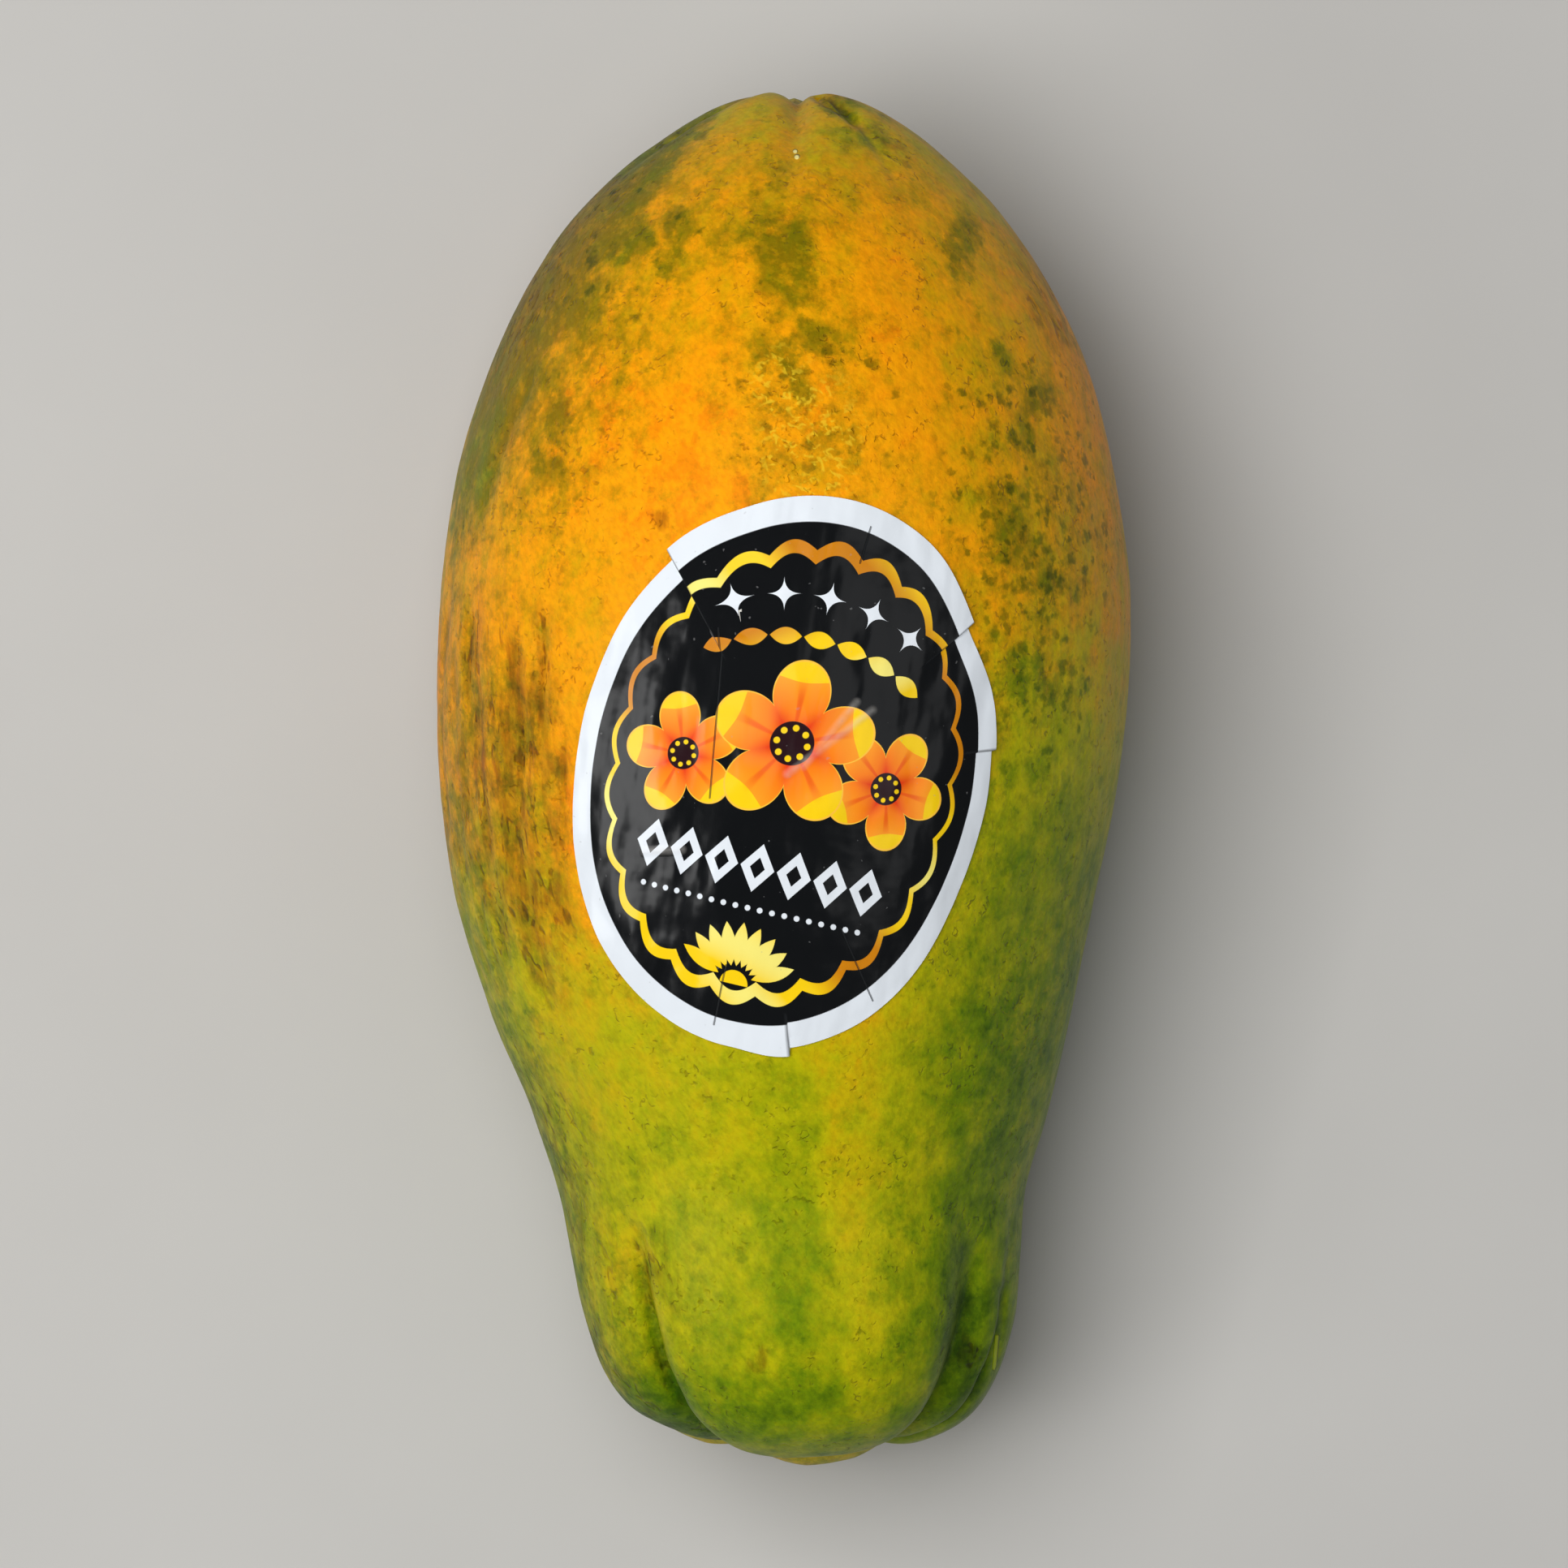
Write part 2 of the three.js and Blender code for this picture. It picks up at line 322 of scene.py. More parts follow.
# How much greener the right-hand side is than the middle: (y, difference)
GREENER_RIGHT = [
    (-118, 0.14), (-75, 0.17), (-53, 0.24), (-32, 0.35), (-12, 0.52),
    (9, 0.38), (29, 0.18), (50, 0.12), (70, 0.16), (91, 0.05),
]
# Markings of the skin as seen from above, in millimetres: middle (x, y), half width, half length, turn in
# degrees from +Y towards +X, and strength. First the changes of ripeness.
RIPENESS_MARKS = [
    (-31, -94, 4.5, 18, 8, 0.12),
    (-27, -104, 4, 10, 12, 0.04),
    (13, -74, 4.5, 38, -1, 0.09),
    (30, -84, 4, 34, 2, -0.04),
    (1, -74, 5, 24, 0, -0.12),
    (-9, -112, 18, 5, 0, -0.08),
    (-37, -10, 3, 18, -6, 0.14),
    (-17, 42, 14, 26, 0, 0.08),
    (17, 84, 6, 10, 0, 0.1),
    (24, 66, 5, 12, 0, 0.08),
    (52, 66, 4, 16, -8, 0.08),
]
# Olive clouds under the skin
CLOUD_MARKS = [
    (-5.1, 96.8, 9, 5, -15, 0.42),
    (-0.2, 91, 6, 6.6, 0, 0.42),
    (-2.8, 108, 5, 5, 0, 0.2),
    (-5.5, 119, 2.2, 4, 0, 0.25),
    (11, 114.5, 3, 1.8, 0, 0.3),
    (9, 121, 4, 3, 60, 0.5),
    (16, 117, 4, 3, 40, 0.4),
    (31.6, 96.4, 4, 6, 0, 0.48),
    (29, 81, 2.4, 1.8, 0, 0.35),
    (38, 76.5, 1.8, 3, 0, 0.4),
    (45, 69, 3.2, 4.4, 0, 0.55),
    (43.8, 60, 2, 3, 0, 0.4),
    (4.8, 80.3, 3.6, 2.6, 0, 0.5),
    (1.3, 76.5, 2.4, 2.4, 0, 0.45),
    (3.8, 71.5, 2, 4, 0, 0.4),
    (-3.4, 75.4, 2, 3, 0, 0.35),
    (-26.4, 98.4, 3.4, 3, 0, 0.5),
    (-18.6, 100, 2.6, 2.4, 0, 0.45),
    (-20.4, 94.8, 2.2, 2.8, 0, 0.45),
    (-30.6, 95.6, 3, 3.4, 0, 0.45),
    (-24, 111.5, 5, 14, 42, 0.5),
    (-40, 92, 5, 16, 28, 0.46),
    (-49, 75, 5, 16, 18, 0.4),
    (-56, 56, 4, 14, 8, 0.3),
    (-35.6, 82.8, 3, 4, 0, 0.4),
    (-38.5, 66, 2.2, 5, 0, 0.4),
    (-41, 55.4, 2.6, 3.4, 0, 0.4),
    (37.5, 50, 3, 5, 0, 0.35),
    (40, 43, 3.6, 4, 0, 0.4),
    (37, 40, 3, 2, 0, 0.3),
    (45.5, 35, 5, 3, 0, 0.4),
    (43, 19, 4, 5, 0, 0.35),
    (2, 68, 13, 24, 0, 0.26),
    (42, 50, 15, 34, 0, 0.16),
    (-36, 78, 16, 40, 20, 0.26),
    (14, 96, 22, 16, 0, 0.12),
    (-50, -6, 10, 36, 0, 0.14),
    (30, -80, 14, 50, 0, 0.14),
    (44, -20, 12, 40, 0, 0.2),
]
# Where dark freckles are dense
FRECKLE_MARKS = [
    (42, 46, 13, 28, 0, 0.85),
    (44, 20, 12, 18, 0, 0.35),
    (-27, 97, 10, 16, 34, 0.2),
    (5, 66, 12, 14, 0, 0.2),
]
# Brown stains
STAIN_MARKS = [
    (-22, 48, 3.4, 2.6, 0, 0.5),
    (-24, -83, 2, 4, -6, 0.25),
    (-21, -88, 3, 9, -8, 0.22),
    (-6, -103, 1.6, 2.8, 20, 0.5),
    (-54, 10, 4, 24, 0, 0.1),
    (-45, 2, 8, 32, 0, 0.24),
    (-53, -20, 3, 12, -14, 0.12),
    (-42, -28, 5, 14, -12, 0.18),
    (8, 122.3, 3, 2, 60, 0.35),
    (16.5, 118.6, 2.4, 1.8, 40, 0.35),
    (20.6, 114.6, 1.6, 3, -40, 0.35),
    (1.6, 122.6, 1.4, 2, 0, 0.3),
    (18, -43, 4, 5, 0, 0.15),
    (31, -103, 4, 3, 0, 0.3),
    (2, 104, 26, 10, 0, 0.16),
    (46, 90, 5, 12, -25, 0.25),
]
# Where pale golden scuffs are dense
SCUFF_MARKS = [
    (4, 60, 9, 16, 0, 0.8),
    (-2, 70, 5, 8, 0, 0.4),
    (-30, 76, 14, 22, 20, 0.25),
    (44, -36, 8, 20, 0, 0.3),
]
# The profile's shares between which the skin turns into the hollow, and the hollow into the stalk's stub
HOLLOW_SHARES = (0.72, 0.8)
STALK_SHARES = (0.865, 0.885)


def marks_at(x, y, marks):
    """The summed strength of a list of markings at places seen from above."""
    total = np.zeros_like(x)
    for middle_x, middle_y, half_width, half_length, turn, strength in marks:
        cosine = math.cos(math.radians(turn))
        sine = math.sin(math.radians(turn))
        along = (x - middle_x) * sine + (y - middle_y) * cosine
        aside = (x - middle_x) * cosine - (y - middle_y) * sine
        reach = (aside / half_width) ** 2 + (along / half_length) ** 2
        total += strength * (1 - smooth(reach, 0.15, 1.9))
    return total


class SkinPlaces:
    """What the markings need to know about points of the skin."""

    def __init__(self, points, share, angle):
        # The markings' edges wander by a few millimetres
        wander = np.stack([noise(points, 13, SKIN_SEED + step) for step in (10, 11)], -1) * 2.5
        wander += np.stack([noise(points, 5, SKIN_SEED + step) for step in (12, 13)], -1) * 1.5
        self.x = points[..., 0] + wander[..., 0]
        self.y = points[..., 1] + wander[..., 1]
        self.points = points
        self.angle = angle
        self.radius = profile_at(share)[..., 1]
        self.on_top = smooth(np.cos(angle), -0.6, 0.2)
        # Painted shade: the left edge is coloured darker, and more so towards its ends
        self.left_edge_shade = self.on_top * smooth(-np.sin(angle), 0.6, 0.96)
        self.edge_end_shade = self.left_edge_shade * smooth(np.abs(self.y - 15), 45, 75)
        # The creases' darkening: partly their own colour, partly painted shade in them
        self.crease_shade_and_colour = self.on_top * crease_depth(points[..., 0], points[..., 1])
        self.dents = flank_dents(points)

    def marks(self, marks):
        """The summed strength of some markings, which are on the upper side alone."""
        return self.on_top * marks_at(self.x, self.y, marks)

    def uneven(self, size, step):
        """Smooth random values, in bumps of a size."""
        return noise(self.points, size, SKIN_SEED + step)


def ripeness_and_flank_shade(skin):
    """How ripe the skin is, from 0 for green to 1 for orange, lowered on the left flank as painted shade.
    """
    near_stem = 1 - smooth(skin.y, -90, -30)
    on_right = smooth(skin.x, 6 + 12 * near_stem, 42 - 8 * near_stem)
    ripe_and_shade = np.interp(skin.y, *np.transpose(RIPENESS_ALONG))
    ripe_and_shade -= np.interp(skin.y, *np.transpose(GREENER_RIGHT)) * on_right
    ripe_and_shade += skin.marks(RIPENESS_MARKS)
    # Painted shade: the left flank is made less ripe, so darker and greener
    ripe_and_shade -= 0.16 * smooth(-skin.x, 34, 60) * (1 - smooth(skin.y, -40, 10))
    ripe_and_shade -= 0.2 * smooth(-skin.x, 38, 60) * smooth(skin.y, 20, 60)
    ripe_and_shade -= 0.1 * (1 - skin.on_top) * smooth(skin.y, -70, 0)
    ripe_and_shade += 0.22 * (1 - skin.on_top) * smooth(-skin.y, 96, 120)
    return ripe_and_shade + 0.06 * skin.uneven(30, 20) + 0.05 * skin.uneven(10, 21)


def cloudiness_and_shade(skin):
    """How strong the olive clouds are, and the painted shade in their tint: in the creases, along the left
    edge and in the floors of the stem end's furrows.
    """
    clouds_and_shade = 0.16 + skin.marks(CLOUD_MARKS) + 0.14 * skin.uneven(26, 22) + 0.2 * (1 - skin.on_top)
    # Creases: partly their own colour, partly painted shade in them
    clouds_and_shade += 0.24 * skin.crease_shade_and_colour + 0.16 * skin.dents
    # Painted shade along the left edge, stronger at its ends
    clouds_and_shade += 0.26 * skin.left_edge_shade + 0.14 * skin.edge_end_shade
    # Painted shade in the floors of the stem end's furrows
    return clouds_and_shade + 0.35 * furrow_floor(skin.angle, skin.radius, 1.4) * smooth(-skin.y, 80, 98)


def freckling(skin):
    """How dense the dark freckles are."""
    return 0.02 + skin.marks(FRECKLE_MARKS) + 0.06 * skin.uneven(24, 23) + 0.2 * (1 - skin.on_top)


def staining_and_shade(skin):
    """How strong the brown stains are, and the painted shade in their tint: in the creases, at the ends of
    the left edge and on both flanks.
    """
    # Creases: partly their own colour, partly painted shade; ends of the left edge: painted shade
    stains_and_shade = skin.marks(STAIN_MARKS) + 0.16 * skin.dents + 0.26 * skin.crease_shade_and_colour + 0.3 * skin.edge_end_shade
    stains_and_shade += 0.35 * (1 - smooth(skin.radius, 2, 7)) * smooth(skin.y, 100, 120)
    # Painted shade: both flanks darker towards the stem end
    return stains_and_shade + 0.12 * smooth(np.abs(skin.x), 40, 60) * smooth(skin.y, -60, -20)


def skin_colouring(points, share, angle):
    """What each point of the skin is like, from 0 to 1, under the names that the skin's material reads."""
    skin = SkinPlaces(points, share, angle)
    values = {
        "ripe_and_shade": ripeness_and_flank_shade(skin),
        "clouds_and_shade": cloudiness_and_shade(skin),
        "freckles": freckling(skin),
        "stains_and_shade": staining_and_shade(skin),
        "scuffs": skin.marks(SCUFF_MARKS),
        "hollow": smooth(share, *HOLLOW_SHARES),
        "stalk": smooth(share, *STALK_SHARES),
        "upper": np.cos(angle) > 0.2,
    }
    return {name: np.clip(value, 0, 1) for name, value in values.items()}


def linear(red, green, blue):
    """A colour given as it looks on a screen, from 0 to 255, as light from 0 to 1."""
    values = [part / 255 for part in (red, green, blue)]
    return [v / 12.92 if v < 0.04045 else ((v + 0.055) / 1.055) ** 2.4 for v in values] + [1]


class Value:
    """A number or colour in a material's nodes. Each sum with it adds a node."""

    def __init__(self, tree, socket):
        self.tree = tree
        self.socket = socket

    def combined(self, operation, *others):
        node = self.tree.nodes.new("ShaderNodeMath")
        node.operation = operation
        for socket, item in zip(node.inputs, (self, *others)):
            feed(self.tree, socket, item)
        return Value(self.tree, node.outputs[0])

    def __add__(self, other):
        return self.combined("ADD", other)

    def __mul__(self, other):
        return self.combined("MULTIPLY", other)

    def __sub__(self, other):
        return self.combined("SUBTRACT", other)

    def __truediv__(self, other):
        return self.combined("DIVIDE", other)

    def __pow__(self, other):
        return self.combined("POWER", other)

    def __neg__(self):
        return self * -1

    def __rsub__(self, other):
        return -self + other

    __radd__ = __add__


def feed(tree, socket, item):
    """Gives a node's socket a value: another node's, or a plain number, colour or vector."""
    if isinstance(item, Value):
        tree.links.new(item.socket, socket)
    else:
        socket.default_value = item


def absolute(value):
    return value.combined("ABSOLUTE")


def largest(first, second):
    return first.combined("MAXIMUM", second)


def smallest(first, second):
    return first.combined("MINIMUM", second)


def length_of(x, y):
    return (x * x + y * y) ** 0.5


def segment_distance(x, y, start, end):
    """The distance to a straight stretch."""
    way_x = end[0] - start[0]
    way_y = end[1] - start[1]
    square = way_x ** 2 + way_y ** 2
    share = ((x - start[0]) * way_x + (y - start[1]) * way_y) / square
    share = smallest(largest(share, 0), 1)
    return length_of(x - start[0] - share * way_x, y - start[1] - share * way_y)


def rise(value, low, high):
    """A node that rises smoothly from 0 at low to 1 at high."""
    node = value.tree.nodes.new("ShaderNodeMapRange")
    node.interpolation_type = "SMOOTHSTEP"
    node.inputs["From Min"].default_value = low
    node.inputs["From Max"].default_value = high
    value.tree.links.new(value.socket, node.inputs["Value"])
    return Value(value.tree, node.outputs["Result"])


def blend(share, under, over, way="MIX"):
    """A colour between two colours."""
    node = share.tree.nodes.new("ShaderNodeMix")
    node.data_type = "RGBA"
    node.blend_type = way
    feed(share.tree, node.inputs[0], share)
    feed(share.tree, node.inputs[6], under)
    feed(share.tree, node.inputs[7], over)
    return Value(share.tree, node.outputs[2])


def tinted(share, colour, tint):
    """A colour seen through a tinted film, as far as the share says."""
    return blend(share, colour, tint, "MULTIPLY")


def ramp(value, stops):
    """A colour looked up by a value among stops of (place, colour)."""
    node = value.tree.nodes.new("ShaderNodeValToRGB")
    value.tree.links.new(value.socket, node.inputs["Fac"])
    elements = node.color_ramp.elements
    while len(elements) < len(stops):
        elements.new(0.5)
    for element, (place, colour) in zip(elements, stops):
        element.position = place
        element.color = colour
    return Value(value.tree, node.outputs["Color"])


def amount(tree, name):
    """A mesh attribute that holds one number at each point."""
    node = tree.nodes.new("ShaderNodeAttribute")
    node.attribute_name = name
    return Value(tree, node.outputs["Fac"])


def place_in(tree, size, stretch=(1, 1, 1), turn=0):
    """The place in the object's own space, counted in sizes times the stretch. The size is in millimetres,
    and the axes are turned about Z by some degrees."""
    place = tree.nodes.new("ShaderNodeTexCoord")
    scaled = tree.nodes.new("ShaderNodeMapping")
    scaled.vector_type = "TEXTURE"
    scaled.inputs["Scale"].default_value = [size * part * MM for part in stretch]
    scaled.inputs["Rotation"].default_value = (0, 0, math.radians(turn))
    tree.links.new(place.outputs["Object"], scaled.inputs["Vector"])
    return scaled.outputs["Vector"]


def grain(tree, size, stretch=(1, 1, 1), detail=2, roughness=0.5, turn=0):
    """Soft noise from 0 to 1, in bumps of a size."""
    node = tree.nodes.new("ShaderNodeTexNoise")
    node.inputs["Scale"].default_value = 1
    node.inputs["Detail"].default_value = detail
    node.inputs["Roughness"].default_value = roughness
    tree.links.new(place_in(tree, size, stretch, turn), node.inputs["Vector"])
    return Value(tree, node.outputs[0])


def scattered(tree, size):
    """Scattered dots, about a size apart: the distance to the nearest, in sizes, and its random number."""
    node = tree.nodes.new("ShaderNodeTexVoronoi")
    node.inputs["Scale"].default_value = 1
    tree.links.new(place_in(tree, size), node.inputs["Vector"])
    parts = tree.nodes.new("ShaderNodeSeparateColor")
    tree.links.new(node.outputs["Color"], parts.inputs["Color"])
    return Value(tree, node.outputs["Distance"]), Value(tree, parts.outputs[0])


def seen_from_above(tree):
    """The place in the object's own space in millimetres, across and along."""
    place = tree.nodes.new("ShaderNodeTexCoord")
    parts = tree.nodes.new("ShaderNodeSeparateXYZ")
    tree.links.new(place.outputs["Object"], parts.inputs[0])
    return Value(tree, parts.outputs[0]) / MM, Value(tree, parts.outputs[1]) / MM


def material_of(name):
    """A new material, its node tree and its surface shader."""
    material = bpy.data.materials.new(name)
    material.use_nodes = True
    return material, material.node_tree, material.node_tree.nodes["Principled BSDF"]


def add_bump(tree, shader, height, depth):
    """Fine relief: the height, from 0 to 1, is worth a depth in millimetres."""
    node = tree.nodes.new("ShaderNodeBump")
    node.inputs["Distance"].default_value = depth * MM
    tree.links.new(height.socket, node.inputs["Height"])
    tree.links.new(node.outputs["Normal"], shader.inputs["Normal"])


# The skin's colours by ripeness, the films of colour over it, and its finish
RIPENING = [
    (0.0, linear(56, 82, 2)),
    (0.1, linear(82, 110, 2)),
    (0.2, linear(114, 138, 2)),
    (0.32, linear(150, 158, 2)),
    (0.44, linear(182, 176, 4)),
    (0.58, linear(200, 174, 4)),
    (0.7, linear(216, 163, 2)),
    (0.84, linear(246, 164, 2)),
    (0.94, linear(254, 162, 2)),
    (1.0, linear(252, 146, 2)),
]
# The cloud tint also colours painted shade in creases, furrow floors and at the left edge
CLOUD_AND_SHADE_TINT = linear(170, 202, 186)
FRECKLE_TINT = linear(126, 164, 140)
# The stain tint also colours painted shade in creases, at the left edge's ends and on the flanks
STAIN_AND_SHADE_TINT = linear(186, 164, 140)
TICK_TINT = linear(170, 150, 130)
# Painted highlight: the glint along the thin ridge
PAINTED_GLINT_COLOUR = linear(176, 190, 20)
PALE_GOLD_SKIN = linear(240, 200, 40)
LATEX = linear(250, 236, 150)
HOLLOW_COLOUR = linear(96, 104, 8)
STALK_DARK = linear(66, 48, 24)
STALK_PALE = linear(140, 112, 66)
SKIN_BUMP = 0.18
SKIN_SHINE = 0.22
SKIN_ROUGHNESS = 0.4
# Drops of dried latex near the blossom end: place seen from above and radius
LATEX_DROPS = [(2.0, 113.3, 0.5), (2.3, 112.2, 0.6)]
# A thin raised ridge on the right-hand lobe of the stem end, with a painted highlight along it: from and to
GLINT_RIDGE = ((38.6, -99.5), (38.2, -105.5))


def dots(tree, size, density, radius):
    """Soft irregular dots: about a size apart where the density is 1, with a radius in sizes."""
    distance, number = scattered(tree, size)
    ragged = distance + (grain(tree, size * 0.4) - 0.5) * radius * 3
    return rise(-ragged, -radius * 1.4, -radius * 0.3) * rise(density - number, -0.15, 0.15)


def threads(tree, size, width, stretch=(1, 1, 1), turn=0):
    """Thin winding lines, broken into short lengths. The width is a share of the size."""
    level = absolute(grain(tree, size, stretch, detail=1, turn=turn) - 0.5)
    gaps = grain(tree, size * 0.8, stretch, detail=1, turn=turn + 50)
    return rise(-level, -width, -width * 0.3) * rise(gaps, 0.53, 0.66)


def ripening_colour(tree):
    """The mottled colour between green and orange."""
    mottles = grain(tree, 5, (1, 1.3, 1), detail=5, roughness=0.66) - 0.5
    return ramp(amount(tree, "ripe_and_shade") + mottles * 0.58, RIPENING)


def with_clouds_and_shade(tree, colour):
    """Soft olive clouds, with smaller and darker flecks in them, and painted shade in the same tint."""
    cloud_and_shade_share = amount(tree, "clouds_and_shade")
    uneven = (grain(tree, 4.5, (1, 1.2, 1), detail=5, roughness=0.72) - 0.5) * 2.2
    colour = tinted(rise(cloud_and_shade_share + uneven, 0.1, 1), colour, CLOUD_AND_SHADE_TINT)
    small = (grain(tree, 2.4, detail=3, roughness=0.6) - 0.5) * 3
    return tinted(rise(cloud_and_shade_share + small, 0.6, 0.95) * 0.5, colour, CLOUD_AND_SHADE_TINT)


def with_freckles(tree, colour):
    """Dark freckles, short brown ticks and fine fibres, and the ticks' relief."""
    freckled = amount(tree, "freckles")
    freckles = largest(dots(tree, 3.8, freckled, 0.36), dots(tree, 2.6, freckled * 0.8, 0.32))
    colour = tinted(freckles * 0.75, colour, FRECKLE_TINT)
    ticks = threads(tree, 1.8, 0.06) * rise(grain(tree, 9), 0.42, 0.62)
    colour = tinted(ticks * 0.45, colour, TICK_TINT)
    fibres = grain(tree, 0.9, (1, 2, 1), detail=3, roughness=0.6, turn=35)
    colour = tinted(rise(fibres, 0.35, 0.7) * 0.25, colour, TICK_TINT)
    return colour, ticks * -0.7


def with_stains_and_shade(tree, colour):
    """Streaked brown stains with fine cracks, and their relief, and painted shade in the same tint."""
    stain_and_shade_share = amount(tree, "stains_and_shade")
    streaks = (grain(tree, 2.4, (1, 4.5, 1), detail=4, roughness=0.62) - 0.5) * 1.5
    colour = tinted(rise(stain_and_shade_share + streaks * smallest(stain_and_shade_share * 3, 1), 0.05, 0.8), colour, STAIN_AND_SHADE_TINT)
    cracks = threads(tree, 2.4, 0.07, (1, 4.5, 1)) * rise(stain_and_shade_share, 0.06, 0.35)
    colour = tinted(cracks * 0.8, colour, STAIN_AND_SHADE_TINT)
    return colour, streaks * stain_and_shade_share * 0.6 - cracks * 1.2


def with_scuffs(tree, colour):
    """Pale golden scuffs."""
    short = threads(tree, 1.8, 0.09, (1.6, 0.8, 1), -30)
    long = threads(tree, 2.6, 0.07, (0.7, 1.4, 1), 20)
    scuffed = rise(amount(tree, "scuffs"), 0.1, 0.9)
    return blend(largest(short, long) * scuffed * 0.6, colour, PALE_GOLD_SKIN)


def latex_drop(x, y, middle_x, middle_y, radius):
    """A round drop with a soft edge."""
    return rise(-length_of(x - middle_x, y - middle_y), -radius, -0.3)


def with_glint_ridge_and_latex(tree, colour):
    """The thin ridge with its painted highlight, and the drops of dried latex, and their relief."""
    x, y = seen_from_above(tree)
    upper = rise(amount(tree, "upper"), 0.4, 0.6)
    glint_ridge = rise(-segment_distance(x, y, *GLINT_RIDGE), -0.5, -0.2) * upper
    # Painted highlight along the ridge
    colour = blend(glint_ridge * 0.7, colour, PAINTED_GLINT_COLOUR)
    drops = functools.reduce(largest, [latex_drop(x, y, *drop) for drop in LATEX_DROPS])
    colour = blend(drops * upper, colour, LATEX)
    return colour, (glint_ridge + drops) * 2


def with_stalk(tree, colour):
    """The darker hollow of the stem end, and the woody stub of the stalk in it."""
    fibres = grain(tree, 0.9, (1, 4, 1), detail=3)
    stalk = blend(fibres, STALK_DARK, STALK_PALE)
    colour = blend(amount(tree, "hollow") * 0.55, colour, HOLLOW_COLOUR)
    return blend(amount(tree, "stalk"), colour, stalk)


def skin_material():
    """Waxy skin with fine pores and all its markings."""
    material, tree, shader = material_of("papaya_skin")
    colour = with_clouds_and_shade(tree, ripening_colour(tree))
    colour, tick_relief = with_freckles(tree, colour)
    colour, stain_relief = with_stains_and_shade(tree, colour)
    colour = with_scuffs(tree, colour)
    colour, ridge_and_latex_relief = with_glint_ridge_and_latex(tree, colour)
    colour = with_stalk(tree, colour)
    pores = grain(tree, 0.8, detail=2) * 0.4 + grain(tree, 2.5, (1, 2, 1), detail=3)
    tree.links.new(colour.socket, shader.inputs["Base Color"])
    add_bump(tree, shader, pores + tick_relief + stain_relief + ridge_and_latex_relief, SKIN_BUMP)
    shader.inputs["Specular IOR Level"].default_value = SKIN_SHINE
    uneven = grain(tree, 4, detail=3) * 0.16
    roughness = uneven + SKIN_ROUGHNESS + amount(tree, "stains_and_shade") * 0.1 + amount(tree, "stalk") * 0.3
    tree.links.new(roughness.socket, shader.inputs["Roughness"])
    return material


def new_object(name, vertices, faces):
    """A smooth mesh object from points in millimetres."""
    mesh = bpy.data.meshes.new(name)
    mesh.from_pydata((np.asarray(vertices) * MM).tolist(), [], faces)
    mesh.validate()
    mesh.shade_smooth()
    made = bpy.data.objects.new(name, mesh)
    bpy.context.scene.collection.objects.link(made)
    return made


def set_amounts(made, name, values):
    """Stores one number at each point of a mesh."""
    layer = made.data.attributes.new(name, "FLOAT", "POINT")
    layer.data.foreach_set("value", np.asarray(values, dtype=np.float32))


def set_map(made, corner_places):
    """Lays the mesh out on its map, from the place of each face's corners."""
    layer = made.data.uv_layers.new(name="OFBake")
    layer.data.foreach_set("uv", np.asarray(corner_places, dtype=np.float32).ravel())


def closed_rings(counts):
    """Faces that join rings of points, of which the first and last are single points. Each face is also
    given as (row, step) corners, whose step isn't wrapped round."""
    starts = np.concatenate([[0], np.cumsum(counts)])
    faces = []
    corners = []
    for row in range(len(counts) - 1):
        here = counts[row]
        following = counts[row + 1]
        count = max(here, following)
        for step in range(count):
            if here == 1:
                places = [(row, step), (row + 1, step), (row + 1, step + 1)]
            elif following == 1:
                places = [(row, step), (row + 1, step), (row, step + 1)]
            else:
                places = [(row, step), (row + 1, step), (row + 1, step + 1), (row, step + 1)]
            corners.append(places)
            faces.append([int(starts[r] + s % counts[r]) for r, s in places])
    return faces, corners


def into_box(points, low, high):
    """The scale and shift that keep the finer surface inside the solid model's box."""
    found_low = points.min(axis=0)
    found_high = points.max(axis=0)
    scale = np.minimum(1, (high - low) / (found_high - found_low))
    return scale, np.clip(0, low - scale * found_low, high - scale * found_high)


def fruit_skin():
    """The whole fruit's skin as one mesh. Also gives the scale and shift that fitted it to its box."""
    inner = row_shares()[1:-1]
    turns = np.arange(SKIN_COLUMNS) * 2 * math.pi / SKIN_COLUMNS
    share = np.concatenate([[0], np.repeat(inner, SKIN_COLUMNS), [1]])
    angle = np.concatenate([[0], np.tile(turns, len(inner)), [0]])
    points = surface(share, angle)
    low, high = (np.array(corner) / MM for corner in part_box("fruit"))
    scale, shift = into_box(points, low, high)
    faces, corners = closed_rings([1] + [SKIN_COLUMNS] * len(inner) + [1])
    fruit = new_object("fruit_skin", points * scale + shift, faces)
    for name, values in skin_colouring(points, share, angle).items():
        set_amounts(fruit, name, values)
    places = [(step / SKIN_COLUMNS, row / SKIN_ROWS) for face in corners for row, step in face]
    set_map(fruit, places)
    fruit.data.materials.append(skin_material())
    return fruit, scale, shift


# Driving dimensions of the label, as in the solid model, and its finer shape
LABEL_HALF_WIDTH = 39
LABEL_HALF_LENGTH = 49.2
LABEL_TILT = math.radians(13)
LABEL_ALONG = 1.9
LABEL_ANGLE = math.radians(0.8)
LABEL_LIFT = 0.12
LABEL_FILM = 0.2
LABEL_RINGS = 60
LABEL_BACK_RINGS = 12
LABEL_SPOKES = 360
LABEL_SHARP = math.radians(50)
# The share of the profile that the label can lie on, from the blossom end
LABEL_PROFILE = 0.65
